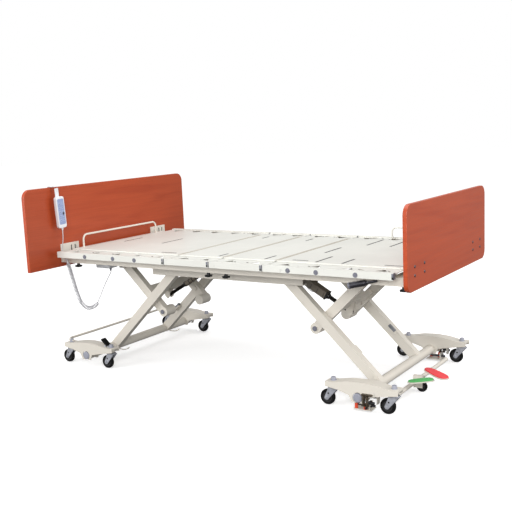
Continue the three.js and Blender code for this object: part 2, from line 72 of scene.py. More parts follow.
# ---------- camera ----------
def make_camera():
    data = bpy.data.cameras.new("camera")
    data.sensor_width = 36
    data.lens = 57.57
    camera = bpy.data.objects.new("camera", data)
    yaw, pitch, roll = 0.582, -0.155, -0.044
    turn = (
        Matrix.Rotation(yaw, 4, "Z")
        @ Matrix.Rotation(math.pi / 2 + pitch, 4, "X")
        @ Matrix.Rotation(roll, 4, "Z")
    )
    camera.matrix_world = Matrix.Translation((2.445, -3.771, 1.319)) @ turn
    bpy.context.scene.collection.objects.link(camera)
    bpy.context.scene.camera = camera


# ---------- materials ----------
def srgb(r, g, b):
    """Linear colour of an 8-bit sRGB one."""
    def linear(value):
        value /= 255
        return value / 12.92 if value <= 0.04045 else ((value + 0.055) / 1.055) ** 2.4
    return (linear(r), linear(g), linear(b), 1.0)


def shade(colour, factor):
    return tuple(min(1.0, c * factor) for c in colour[:3]) + (1.0,)


class Material:
    """A Principled material whose colour, roughness and bump come from object-space noise."""

    def __init__(self, name, roughness, metallic=0.0, coat=0.0):
        self.material = bpy.data.materials.new(name)
        self.material.use_nodes = True
        self.nodes = self.material.node_tree.nodes
        self.links = self.material.node_tree.links
        self.shader = self.nodes["Principled BSDF"]
        self.shader.inputs["Roughness"].default_value = roughness
        self.shader.inputs["Metallic"].default_value = metallic
        self.shader.inputs["Coat Weight"].default_value = coat
        self.coords = self.nodes.new("ShaderNodeTexCoord").outputs["Object"]
        self.height = None

    def noise(self, scale, stretch=(1, 1, 1), detail=4.0, distortion=0.0):
        mapping = self.nodes.new("ShaderNodeMapping")
        mapping.inputs["Scale"].default_value = stretch
        self.links.new(self.coords, mapping.inputs["Vector"])
        node = self.nodes.new("ShaderNodeTexNoise")
        node.inputs["Scale"].default_value = scale
        node.inputs["Detail"].default_value = detail
        node.inputs["Distortion"].default_value = distortion
        self.links.new(mapping.outputs["Vector"], node.inputs["Vector"])
        return node.outputs["Fac"]

    def ramp(self, source, stops):
        node = self.nodes.new("ShaderNodeValToRGB")
        elements = node.color_ramp.elements
        while len(elements) < len(stops):
            elements.new(0.5)
        for element, (position, colour) in zip(elements, stops):
            element.position = position
            element.color = colour
        self.links.new(source, node.inputs["Fac"])
        return node.outputs["Color"]

    def mix(self, factor, a, b, blend="MIX"):
        node = self.nodes.new("ShaderNodeMix")
        node.data_type = "RGBA"
        node.blend_type = blend
        for socket, value in (("Factor", factor), ("A", a), ("B", b)):
            target = [s for s in node.inputs if s.name == socket and s.enabled][0]
            if isinstance(value, bpy.types.NodeSocket):
                self.links.new(value, target)
            else:
                target.default_value = value
        return [s for s in node.outputs if s.enabled][0]

    def colour(self, socket):
        self.links.new(socket, self.shader.inputs["Base Color"])
        return self

    def roughness(self, source, low, high):
        node = self.nodes.new("ShaderNodeMapRange")
        node.inputs["From Min"].default_value = 0.3
        node.inputs["From Max"].default_value = 0.7
        node.inputs["To Min"].default_value = low
        node.inputs["To Max"].default_value = high
        self.links.new(source, node.inputs["Value"])
        self.links.new(node.outputs["Result"], self.shader.inputs["Roughness"])
        return self

    def bump(self, source, strength, distance):
        node = self.nodes.new("ShaderNodeBump")
        node.inputs["Strength"].default_value = strength
        node.inputs["Distance"].default_value = distance
        self.links.new(source, node.inputs["Height"])
        if self.height is not None:
            self.links.new(self.height, node.inputs["Normal"])
        self.height = node.outputs["Normal"]
        self.links.new(self.height, self.shader.inputs["Normal"])
        return self


def powder_coat(name, colour, roughness=0.42):
    """Baked powder paint: orange-peel skin, slight cloudiness and faint handling marks."""
    m = Material(name, roughness, coat=0.08)
    cloud = m.noise(3.5, detail=3)
    scuff = m.noise(26, stretch=(1, 3, 1), detail=7, distortion=0.6)
    base = m.ramp(cloud, [(0.3, shade(colour, 0.95)), (0.7, shade(colour, 1.03))])
    mark = m.ramp(scuff, [(0.24, (1, 1, 1, 1)), (0.34, (0, 0, 0, 1))])
    m.colour(m.mix(mark, base, shade(colour, 0.86)))
    m.roughness(scuff, roughness - 0.06, roughness + 0.12)
    m.bump(m.noise(420, detail=2), 0.10, 0.0006)
    return m.material


def plastic(name, colour, roughness=0.45, grain=900):
    """Moulded plastic: fine spark-eroded grain and a little flow variation."""
    m = Material(name, roughness)
    flow = m.noise(9, detail=3)
    m.colour(m.ramp(flow, [(0.3, shade(colour, 0.92)), (0.7, shade(colour, 1.06))]))
    m.roughness(flow, roughness - 0.05, roughness + 0.08)
    m.bump(m.noise(grain, detail=3), 0.16, 0.0004)
    return m.material


def metal(name, colour, roughness, spangle=60, plated=0.9):
    """Plated or bare steel with crystal spangle and fine scratches."""
    m = Material(name, roughness, metallic=plated)
    grain = m.noise(spangle, detail=5, distortion=0.4)
    scratch = m.noise(240, stretch=(1, 1, 0.08), detail=3)
    m.colour(m.ramp(grain, [(0.3, shade(colour, 0.78)), (0.7, shade(colour, 1.12))]))
    m.roughness(grain, roughness - 0.08, roughness + 0.14)
    m.bump(scratch, 0.08, 0.0003)
    return m.material


def rubber(name, colour, roughness=0.62):
    m = Material(name, roughness)
    m.shader.inputs["Specular IOR Level"].default_value = 0.2
    dust = m.noise(38, detail=6)
    m.colour(m.ramp(dust, [(0.35, colour), (0.75, shade(colour, 1.9))]))
    m.roughness(dust, roughness - 0.1, roughness + 0.15)
    m.bump(m.noise(700, detail=3), 0.2, 0.0004)
    return m.material


def cherry_laminate(name, light, dark):
    """Cherry wood-grain laminate: long flowing figure along Y, fine pores, satin lacquer."""
    m = Material(name, 0.40, coat=0.06)
    m.shader.inputs["Coat Roughness"].default_value = 0.22
    figure = m.noise(3.2, stretch=(1.0, 0.35, 4.2), detail=5, distortion=1.4)
    pores = m.noise(34, stretch=(1.0, 0.12, 9.0), detail=6, distortion=0.2)
    base = m.ramp(figure, [(0.28, dark), (0.5, shade(light, 0.94)), (0.74, light)])
    fine = m.ramp(pores, [(0.34, (0.80, 0.76, 0.72, 1)), (0.62, (1, 1, 1, 1))])
    m.colour(m.mix(0.55, base, fine, "MULTIPLY"))
    m.roughness(pores, 0.28, 0.44)
    m.bump(pores, 0.06, 0.0004)
    return m.material


CREAM = srgb(222, 216, 205)
LAVENDER = srgb(118, 119, 130)
PALE_LAVENDER = srgb(158, 160, 172)

PAINT = powder_coat("frame_paint", CREAM)
DECK = powder_coat("deck_paint", srgb(226, 226, 219), 0.46)
WOOD = cherry_laminate("cherry_laminate", srgb(182, 75, 37), srgb(168, 65, 30))
EDGE = cherry_laminate("cherry_edge_band", srgb(196, 80, 42), srgb(178, 68, 34))
ZINC = metal("zinc_plate", srgb(186, 188, 196), 0.38, plated=0.45)
STEEL = metal("dark_steel", srgb(92, 92, 98), 0.36)
TYRE = rubber("black_rubber", srgb(9, 9, 10))
HUB = plastic("wheel_hub", srgb(40, 39, 40), 0.5)
CAP = plastic("grey_cap", LAVENDER, 0.42)
PALE_CAP = plastic("pale_grey_cap", PALE_LAVENDER, 0.42)
# Darker strip colour along the deck seams: painted shade of the gap between the sections.
SEAM_SHADE = powder_coat("seam_painted_shade", srgb(186, 178, 162), 0.5)
# Taupe of the flat triangles on the wing sheets: painted shade of the raised triangular tabs.
SHADE = plastic("gusset_painted_shade", srgb(124, 113, 97), 0.5)
BLACK = plastic("black_plastic", srgb(22, 22, 24), 0.38)
TAUPE = plastic("motor_housing", srgb(112, 103, 90), 0.5)
ROD = metal("actuator_rod", srgb(44, 40, 36), 0.3)
WHITE = plastic("white_plastic", srgb(228, 230, 234), 0.36)
KEYPAD = plastic("keypad_film", srgb(146, 160, 198), 0.3)
LEGEND = plastic("key_arrow", srgb(96, 108, 150), 0.4)
KEY = plastic("key_cap", srgb(164, 177, 210), 0.4)
SPRING = metal("taupe_spring", srgb(104, 94, 80), 0.42)
CORD = plastic("cord_jacket", srgb(206, 206, 210), 0.5)
PAD = rubber("grey_rubber", srgb(110, 112, 116), 0.7)
RED = plastic("pedal_red", srgb(238, 68, 74), 0.5, 520)
GREEN = plastic("pedal_green", srgb(82, 176, 96), 0.5, 520)
ORANGE = plastic("lock_bushing", srgb(226, 78, 42), 0.5)


# ---------- mesh building ----------
class Build:
    """Collects solids, given in metres of the row frame, into one mesh object."""

    def __init__(self):
        self.bm = bmesh.new()

    def block(self, low, high, turn=None):
        low, high = Vector(low), Vector(high)
        size = high - low
        verts = bmesh.ops.create_cube(self.bm, size=1)["verts"]
        shape = Matrix.Diagonal((abs(size.x), abs(size.y), abs(size.z), 1))
        move = Matrix.Translation((low + high) / 2)
        bmesh.ops.transform(self.bm, matrix=(turn or Matrix()) @ move @ shape, verts=verts)
        return self

    def rod(self, start, end, radius, end_radius=None, sides=32):
        start, end = Vector(start), Vector(end)
        far = radius if end_radius is None else end_radius
        made = bmesh.ops.create_cone(
            self.bm, cap_ends=True, segments=sides, radius1=radius, radius2=far,
            depth=(end - start).length,
        )
        turn = (end - start).to_track_quat("Z", "Y").to_matrix().to_4x4()
        move = Matrix.Translation((start + end) / 2)
        bmesh.ops.transform(self.bm, matrix=move @ turn, verts=made["verts"])
        return self

    def lathe(self, centre, axis, profile, sides=48):
        """Turns a closed profile of (radius, along axis) about an axis through centre."""
        turn = Vector(axis).to_track_quat("Z", "Y").to_matrix().to_4x4()
        matrix = Matrix.Translation(centre) @ turn
        rings = []
        for i in range(sides):
            angle = 2 * math.pi * i / sides
            spoke = Vector((math.cos(angle), math.sin(angle), 0))
            ring = [self.bm.verts.new(matrix @ (spoke * r + Vector((0, 0, z)))) for r, z in profile]
            rings.append(ring)
        for ring, after in zip(rings, rings[1:] + rings[:1]):
            for k in range(len(profile)):
                nxt = (k + 1) % len(profile)
                self.bm.faces.new((ring[k], after[k], after[nxt], ring[nxt]))
        return self

    def prism(self, outline, depth, matrix):
        """A flat outline in local X and Y, extruded along local Z by depth."""
        low = [self.bm.verts.new(matrix @ Vector((x, y, 0))) for x, y in outline]
        high = [self.bm.verts.new(matrix @ Vector((x, y, depth))) for x, y in outline]
        self.bm.faces.new(list(reversed(low)))
        self.bm.faces.new(high)
        for i in range(len(low)):
            j = (i + 1) % len(low)
            self.bm.faces.new((low[i], low[j], high[j], high[i]))
        return self

    def sweep(self, points, radius, sides=12):
        """A round bar along points, with flat ends."""
        points = [Vector(p) for p in points]
        tangents = [
            (points[min(i + 1, len(points) - 1)] - points[max(i - 1, 0)]).normalized()
            for i in range(len(points))
        ]
        side = tangents[0].orthogonal().normalized()
        rings = []
        for point, tangent in zip(points, tangents):
            side = (side - tangent * side.dot(tangent)).normalized()
            up = tangent.cross(side)
            ring = []
            for k in range(sides):
                angle = 2 * math.pi * k / sides
                offset = side * math.cos(angle) + up * math.sin(angle)
                ring.append(self.bm.verts.new(point + offset * radius))
            rings.append(ring)
        for ring, after in zip(rings, rings[1:]):
            for k in range(sides):
                n = (k + 1) % sides
                self.bm.faces.new((ring[k], ring[n], after[n], after[k]))
        self.bm.faces.new(list(reversed(rings[0])))
        self.bm.faces.new(rings[-1])
        return self

    def make(self, name, material, body, bevel=0.0, segments=3, sharp=35, slot=None):
        bmesh.ops.recalc_face_normals(self.bm, faces=self.bm.faces)
        mesh = bpy.data.meshes.new(name)
        self.bm.to_mesh(mesh)
        self.bm.free()
        mesh.materials.append(material)
        for polygon in mesh.polygons:
            polygon.use_smooth = True
        piece = bpy.data.objects.new(name, mesh)
        bpy.context.scene.collection.objects.link(piece)
        if bevel:
            round_edges(piece, bevel, segments, sharp)
        else:
            mesh.set_sharp_from_angle(angle=math.radians(sharp))
        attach(piece, body)
        return piece


def round_edges(piece, width, segments=3, sharp=35):
    bevel = piece.modifiers.new("edges", "BEVEL")
    bevel.width = width
    bevel.segments = segments
    bevel.limit_method = "ANGLE"
    bevel.angle_limit = math.radians(sharp)
    bevel.harden_normals = True
    bevel.use_clamp_overlap = True


def smooth_curve(points, per_span=8):
    """Catmull-Rom points through the given ones."""
    points = [Vector(p) for p in points]
    ends = [points[0] * 2 - points[1]] + points + [points[-1] * 2 - points[-2]]
    line = []
    for a, b, c, d in zip(ends, ends[1:], ends[2:], ends[3:]):
        for i in range(per_span):
            t = i / per_span
            line.append(
                ((b * 2) + (c - a) * t + (a * 2 - b * 5 + c * 4 - d) * t * t
                 + (b * 3 - a - c * 3 + d) * t ** 3) / 2
            )
    return line + [points[-1]]


def line_length(line):
    return sum((b - a).length for a, b in zip(line, line[1:]))


# ---------- hand control cord ----------
CORD_R = 2.4 * MM
COIL_R = 9.6 * MM
COIL_PITCH = 8 * MM

UPPER_LEAD = [
    (-1051, -475, 801), (-1051, -474.5, 770), (-1053, -475, 735), (-1059, -477, 700),
    (-1063, -477, 672), (-1058, -477, 648), (-1044, -477, 624), (-1031, -476, 602),
]
COIL_ROUTE = [
    (-1030.8, -475.9, 601.6), (-1027, -475, 594), (-1019, -472, 562), (-1006, -467, 500),
    (-991, -460, 430), (-975, -450, 372), (-940, -436, 335), (-905, -417, 341),
    (-890, -404.5, 358), (-888, -401, 365),
]
LOWER_LEAD = [
    (-887.9, -400.8, 365.5), (-885.9, -397.3, 372.3), (-880, -382, 402), (-876, -352, 450),
    (-875, -318, 492), (-874, -292, 520), (-874, -290, 534), (-874, -290, 547.5),
]


def helix_along(route, radius, pitch, per_turn=14):
    """Points of a helix round a line; its first and last half turns close in to the line."""
    length = line_length(route)
    turns = round(length / pitch)
    count = turns * per_turn
    steps = [0.0]
    for a, b in zip(route, route[1:]):
        steps.append(steps[-1] + (b - a).length)
    side = (route[1] - route[0]).orthogonal().normalized()
    points, k = [], 0
    for i in range(count + 1):
        along = length * i / count
        while k < len(route) - 2 and steps[k + 1] < along:
            k += 1
        tangent = (route[k + 1] - route[k]).normalized()
        share = (along - steps[k]) / (steps[k + 1] - steps[k])
        centre = route[k].lerp(route[k + 1], share)
        side = (side - tangent * side.dot(tangent)).normalized()
        up = tangent.cross(side)
        angle = 2 * math.pi * i / per_turn
        fade = min(1.0, i / per_turn, (count - i) / per_turn)
        reach = radius * (fade * fade * (3 - 2 * fade))
        points.append(centre + (side * math.cos(angle) + up * math.sin(angle)) * reach)
    return points


def make_cords():
    upper = smooth_curve([place(*p) for p in UPPER_LEAD], 4)
    lead = Build().sweep(upper, CORD_R, 12).make("hand_lead_upper", CORD, "root", slot="cord_jacket")
    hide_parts("cord_lead_upper")
    sleeve = Build()
    sleeve.rod(upper[-1] + Vector((0, 0, 0.018)), upper[-1] + Vector((0.0005, 0, -0.002)), 0.0042, 0.0056)
    joint = sleeve.make("cord_sleeve", CORD, "root", 0.0008)
    coil = helix_along(smooth_curve([place(*p) for p in COIL_ROUTE], 10), COIL_R, COIL_PITCH)
    lower = smooth_curve([place(*p) for p in LOWER_LEAD], 4)
    whole = coil + lower[1:]
    hanging = Build().sweep(whole, CORD_R, 10).make("hand_cord", CORD, "root", slot="cord_jacket")
    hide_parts("cord_coil", "cord_lead_lower")
    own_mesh(hanging)
    gland = Build()
    end = place(-874, -290, 548)
    gland.rod(end - Vector((0, 0, 0.016)), end, 0.0042, 0.0075)
    gland.rod(end - Vector((0, 0, 0.003)), end, 0.010)
    gland.make("cord_gland", CAP, "root", 0.0008)


make_camera()
make_cords()


# ---------- carried-over CAD nodes ----------
def finish_cad(node, material, bevel, slot=None):
    """Gives a CAD node its paint and rounded edges; its mesh and place stay as packed."""
    piece = frame["nodes"][node]
    piece.data.materials.clear()
    piece.data.materials.append(material)
    if "custom_normal" in piece.data.attributes:
        piece.data.attributes.remove(piece.data.attributes["custom_normal"])
    for polygon in piece.data.polygons:
        polygon.use_smooth = True
    weld = piece.modifiers.new("weld", "WELD")
    weld.merge_threshold = 0.00002
    flat = piece.modifiers.new("flat_faces", "DECIMATE")
    flat.decimate_type = "DISSOLVE"
    flat.angle_limit = math.radians(1)
    round_edges(piece, bevel, 2, 32)
    return piece


CAD_FINISH = {
    PAINT: [("main_frame", 1.8), ("track_beam_near", 0.8), ("track_beam_far", 0.8)]
    + [(f"board_bracket_{end}_{side}", 0.8) for end in ENDS for side in SIDES]
    + [(f"{end}_{part}", size) for end in ENDS
       for part, size in (("long_frame", 3.0), ("short_frame", 3.0), ("bogie_near", 1.2), ("bogie_far", 1.2))]
    + [("pedal_bar", 1.0)],
    DECK: [(f"{name}_panel", 2.0) for name in ("back", "seat", "thigh", "foot")]
    + [(f"{name}_wing_{side}", 0.9) for name in ("back", "seat", "thigh", "foot") for side in SIDES],
    WHITE: [("control_box", 5.0)],
}
for paint, nodes in CAD_FINISH.items():
    for node, width in nodes:
        finish_cad(node, paint, width * MM)

for board in ("headboard", "footboard"):
    piece = finish_cad(board, WOOD, 2.5 * MM)
    piece.data.materials.append(EDGE)
    for polygon in piece.data.polygons:
        if abs(polygon.normal.x) < 0.5:
            polygon.material_index = 1


# ---------- casters ----------
CASTER_R = 38 * MM
CASTER_WIDTH = 22 * MM
STEER_R = 27 * MM
STEER_WIDTH = 20 * MM


def make_wheel(name, centre, radius, width, body, replaced):
    half = width / 2
    tyre = Build().lathe(centre, (0, 1, 0), [
        (radius * 0.66, -half * 0.86), (radius * 0.86, -half * 0.98), (radius * 0.955, -half * 0.78),
        (radius * 0.992, -half * 0.42), (radius, 0), (radius * 0.992, half * 0.42),
        (radius * 0.955, half * 0.78), (radius * 0.86, half * 0.98), (radius * 0.66, half * 0.86),
    ], 64).make(f"{name}_tyre", TYRE, body, slot="caster_wheel")
    hub = Build()
    hub.lathe(centre, (0, 1, 0), [
        (radius * 0.14, -half * 1.05), (radius * 0.30, -half * 1.05), (radius * 0.34, -half * 0.72),
        (radius * 0.56, -half * 0.60), (radius * 0.62, -half * 0.84), (radius * 0.68, -half * 0.84),
        (radius * 0.68, half * 0.84), (radius * 0.62, half * 0.84), (radius * 0.56, half * 0.60),
        (radius * 0.34, half * 0.72), (radius * 0.30, half * 1.05), (radius * 0.14, half * 1.05),
    ], 48)
    hub.make(f"{name}_hub", HUB, body, slot="caster_wheel")
    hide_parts(replaced)


def cheek_outline(trail):
    """Fork cheek seen from the side, about the axle: round below, wide at the crown."""
    radius = 12.5
    points = [(-trail + 25, 47), (-trail + 25, 51), (-trail - 25, 51), (-trail - 25, 42)]
    for i in range(9):
        angle = math.radians(188 + i * 19)
        points.append((radius * math.cos(angle), radius * math.sin(angle)))
    return [(x * MM, y * MM) for x, y in points]


def make_fork(label, axle, stem_x):
    body = f"fork_{label}"
    trail = (axle.x - stem_x) / MM
    fork = Build()
    upright = Matrix.Rotation(math.pi / 2, 4, "X")
    for y in (-14, 17):
        fork.prism(cheek_outline(trail), 3 * MM, Matrix.Translation(axle + Vector((0, y * MM, 0))) @ upright)
    crown = Vector((stem_x, axle.y, axle.z))
    fork.block(crown + Vector((-25, -17, 48)) * MM, crown + Vector((25, 17, 51)) * MM)
    piece = fork.make(body + "_cheeks", ZINC, body, 0.9 * MM, slot="zinc_steel")
    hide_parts(body)
    race = Build()
    race.lathe(crown, (0, 0, 1), [
        (4 * MM, 50 * MM), (24 * MM, 50 * MM), (25 * MM, 52 * MM), (23 * MM, 54 * MM),
        (19 * MM, 54.5 * MM), (19 * MM, 56 * MM), (21 * MM, 57 * MM), (4 * MM, 57.3 * MM),
    ], 48)
    race.rod(crown + Vector((0, 0, 0.040)), crown + Vector((0, 0, 0.047)), 7 * MM, sides=6)
    for side in (-1, 1):
        nut = axle + Vector((0, side * 17 * MM, 0))
        race.rod(nut, nut + Vector((0, side * 4.5 * MM, 0)), 6.5 * MM, sides=6)
        race.rod(nut, nut + Vector((0, side * 6.5 * MM, 0)), 3.6 * MM, sides=20)
    race.make(body + "_race", ZINC, body, 0.5 * MM)
    seal = Build().lathe(crown, (0, 0, 1), [
        (18.5 * MM, 54.4 * MM), (22.5 * MM, 54.4 * MM), (22.5 * MM, 56.6 * MM), (18.5 * MM, 56.6 * MM),
    ], 48)
    seal.make(body + "_seal", BLACK, body)
    # Black discs on the cheeks: painted shade of the holes' insides.
    hole_shades = Build()
    for side in (-1, 1):
        spot = axle + Vector((-trail * 0.32 * MM, side * 17.05 * MM, 22 * MM))
        hole_shades.rod(spot, spot + Vector((0, side * 0.25 * MM, 0)), 4.5 * MM, sides=24)
    hole_shades.make(body + "_cheek_hole_shades", BLACK, body)


for end in ENDS:
    for where in ENDS:
        for side in SIDES:
            label = f"{end}_{where}_{side}"
            axle = pivot(f"roll_{label}")
            make_wheel(f"wheel_{label}", axle, CASTER_R, CASTER_WIDTH, f"wheel_{label}", f"wheel_{label}")
            make_fork(label, axle, pivot(f"swivel_{label}").x)
make_wheel("steer_wheel_fine", pivot("steer_roll"), STEER_R, STEER_WIDTH, "steer_wheel", "steer_wheel")


# ---------- bogies ----------
def make_bogie_fittings():
    for end in ENDS:
        caps = Build()
        for side in SIDES:
            for where in ENDS:
                stem = pivot(f"swivel_{end}_{where}_{side}")
                foot = Vector((stem.x, stem.y, 0.1238))
                caps.rod(foot, foot + Vector((0, 0, 0.017)), 11.5 * MM, 11 * MM, 40)
                caps.rod(foot, foot + Vector((0, 0, 0.003)), 15 * MM, sides=40)
        caps.make(f"{end}_stem_caps", PALE_CAP, f"{end}_base", 1.6 * MM)
        ends = Build()
        axle = pivot(f"{end}_level")
        for sign in (-1, 1):
            tip = Vector((axle.x, sign * 0.478, axle.z))
            ends.rod(tip, tip + Vector((0, sign * 12.5 * MM, 0)), 22 * MM, sides=48)
            ends.rod(tip, tip + Vector((0, sign * 14.5 * MM, 0)), 18 * MM, 16 * MM, 48)
        ends.make(f"{end}_axle_caps", PALE_CAP, f"{end}_long", 1.5 * MM)


def make_floor_lock(side, sign):
    """Floor lock under a foot bogie: base plate, two bushings and a compression spring."""
    axle = pivot("foot_level")
    base = Vector((axle.x, sign * 0.456, 0))

    def at(x, y, z):
        return base + Vector((x, y, z)) * MM

    plate = Build()
    plate.block(at(-24, -30, 8), at(66, 30, 12))
    plate.block(at(50, -20, 12), at(54, 20, 46))
    plate.block(at(88, -16, 40), at(92, 16, 96))
    plate.make(f"floor_lock_plate_{side}", PAINT, "foot_base", 1.0 * MM)
    bushes = Build()
    for x in (-12, 34):
        bushes.rod(at(x, sign * 21, 12), at(x, sign * 21, 38), 8.5 * MM, 7.5 * MM)
    bushes.make(f"floor_lock_bushes_{side}", ORANGE, "foot_base", 1.2 * MM)
    coil = []
    turns = 6
    for i in range(turns * 16 + 1):
        angle = 2 * math.pi * i / 16
        coil.append(at(36 + 50 * i / (turns * 16), 14 * math.cos(angle), 80 + 14 * math.sin(angle)))
    spring = Build().sweep(coil, 2.6 * MM, 10)
    spring.rod(at(30, 0, 80), at(96, 0, 80), 5 * MM)
    spring.rod(at(-22, 0, 26), at(74, 0, 26), 6 * MM)
    spring.make(f"floor_lock_spring_{side}", STEEL, "foot_base")
    outer = Build()
    for x in (34, 52):
        turns_up = []
        for i in range(7 * 14 + 1):
            angle = 2 * math.pi * i / 14
            swing = (6.5 * math.cos(angle), 6.5 * math.sin(angle))
            turns_up.append(at(x + swing[0], sign * 41 + swing[1], 40 + 46 * i / 98))
        outer.sweep(turns_up, 1.9 * MM, 8)
        outer.rod(at(x, sign * 41, 34), at(x, sign * 41, 92), 3.4 * MM, sides=16)
    outer.block(at(26, sign * 33.5, 86), at(78, sign * 49, 92))
    outer.block(at(26, sign * 33.5, 34), at(60, sign * 49, 39))
    outer.make(f"floor_lock_return_{side}", SPRING, "foot_base")
    bolts = Build()
    for x, z, r in ((68, 58, 6.5), (74, 38, 5.5), (46, 24, 5.5)):
        bolts.rod(at(x, sign * 30, z), at(x, sign * 44, z), r * MM, sides=6)
    bolts.rod(at(60, sign * 38, 52), at(88, sign * 38, 52), 7 * MM)
    bolts.make(f"floor_lock_bolts_{side}", BLACK, "foot_base", 0.6 * MM)


def make_brake_lever(side, sign):
    """Black foot tread on its short arm, on top of a head bogie."""
    where, offset, slope = ("foot", -0.030, 42) if side == "near" else ("head", 0.024, 12)
    stem = pivot(f"swivel_head_{where}_{side}")
    origin = Vector((stem.x + offset, stem.y + sign * 0.004, 0.139))
    turn = Matrix.Translation(origin) @ Matrix.Rotation(math.radians(slope), 4, "Y")
    arm = Build().block((-0.034, -0.006, -0.004), (0.030, 0.006, 0.001), turn)
    arm.rod(origin + Vector((0, -0.016, -0.006)), origin + Vector((0, 0.016, -0.006)), 5 * MM)
    arm.make(f"brake_arm_{side}", ZINC, "head_base", 1.0 * MM)
    tread = Build().block((-0.040, -0.017, 0.001), (0.012, 0.017, 0.010), turn)
    for i in range(5):
        x = -0.036 + i * 0.0095
        tread.block((x, -0.015, 0.009), (x + 0.004, 0.015, 0.0118), turn)
    tread.make(f"brake_tread_{side}", TYRE, "head_base", 1.2 * MM)


make_bogie_fittings()
for side_name, side_sign in SIDES.items():
    make_floor_lock(side_name, side_sign)
    make_brake_lever(side_name, side_sign)


# ---------- leg fittings ----------
def leg_axes(end, start, finish):
    """Axes of a leg: local X along it, local Y level, with its origin at finish."""
    a, b = pivot(start), pivot(finish)
    x = (b - a).normalized()
    y = Vector((0, 1 if end == "head" else -1, 0))
    z = x.cross(y)
    turn = Matrix((x, y, z)).transposed().to_4x4()
    return Matrix.Translation(b) @ turn


for end in ENDS:
    long_leg = leg_axes(end, f"{end}_level", f"{end}_cross")
    pad_y = 208 if end == "head" else -208
    pads = Build().block(Vector((-240, pad_y - 9, 18)) * MM, Vector((-194, pad_y + 9, 31)) * MM, long_leg)
    pads.make(f"{end}_bumper_pad", PAD, f"{end}_long", 2.0 * MM)
    if end == "head":
        tabs = Build()
        foot = pivot("head_level")
        for sign in (-1, 1):
            tab = [foot + Vector((x, sign * 0.240, z)) * 1.0 for x, z in (
                (0.018, -0.016), (0.045, -0.020), (0.075, -0.018), (0.098, -0.010), (0.108, -0.002),
            )]
            tabs.sweep(smooth_curve(tab, 6), 3.2 * MM, 12)
        tabs.make("head_transport_hooks", PAINT, "head_long")
    short_leg = leg_axes(end, f"{end}_cross", f"{end}_lift")
    tail = -(pivot(f"{end}_cross") - pivot(f"{end}_lift")).length / MM - 87
    fittings = Build()
    for sign in (-1, 1):
        outer = short_leg @ (Vector((tail, sign * 219, 0)) * MM)
        fittings.rod(outer, outer + Vector((0, 0.006 * (outer.y / abs(outer.y)), 0)), 13.5 * MM, 12 * MM)
    fittings.make(f"{end}_tail_caps", CAP, f"{end}_short", 1.2 * MM)
    shaft = Build()
    hinge = pivot(f"{end}_lift")
    reach = 0.346 if end == "foot" else 0.243
    for sign in (-1, 1):
        inner = hinge + Vector((0, sign * 0.2305, 0))
        shaft.rod(inner, hinge + Vector((0, sign * reach, 0)), 16.2 * MM)
        shaft.rod(inner, hinge + Vector((0, sign * 0.2385, 0)), 21 * MM, sides=6)
    shaft.make(f"{end}_pivot_shaft_ends", STEEL, "root", 1.2 * MM)


def make_damper():
    """Dark gas spring of the foot section, outside the near side tube."""
    near = place(773, -479, 591)
    along = Vector((0.138, 0, 0.031))
    sleeve = Build()
    sleeve.rod(near, near + along * 0.62, 14 * MM, 12 * MM, 40)
    for i in range(9):
        spot = near + along * (0.08 + i * 0.058)
        sleeve.rod(spot, spot + along * 0.026, 15 * MM, 14.2 * MM, 40)
    sleeve.rod(near + along * 0.60, near + along, 6.5 * MM, 6 * MM)
    sleeve.make("foot_damper", STEEL, "root", 0.8 * MM)
    direction = along.normalized()
    cap = Build().rod(near - direction * 0.003, near + direction * 0.006, 15.5 * MM, sides=40)
    cap.rod(near + Vector((0.004, 0.002, 0)), near + Vector((0.004, 0.030, 0)), 7 * MM)
    cap.make("foot_damper_cap", CAP, "root", 0.8 * MM)


make_damper()


# ---------- actuators ----------
ROD_BORE = 12.3  # hole in the collars and tube, in mm, clear of the rod's 11.8 mm eye


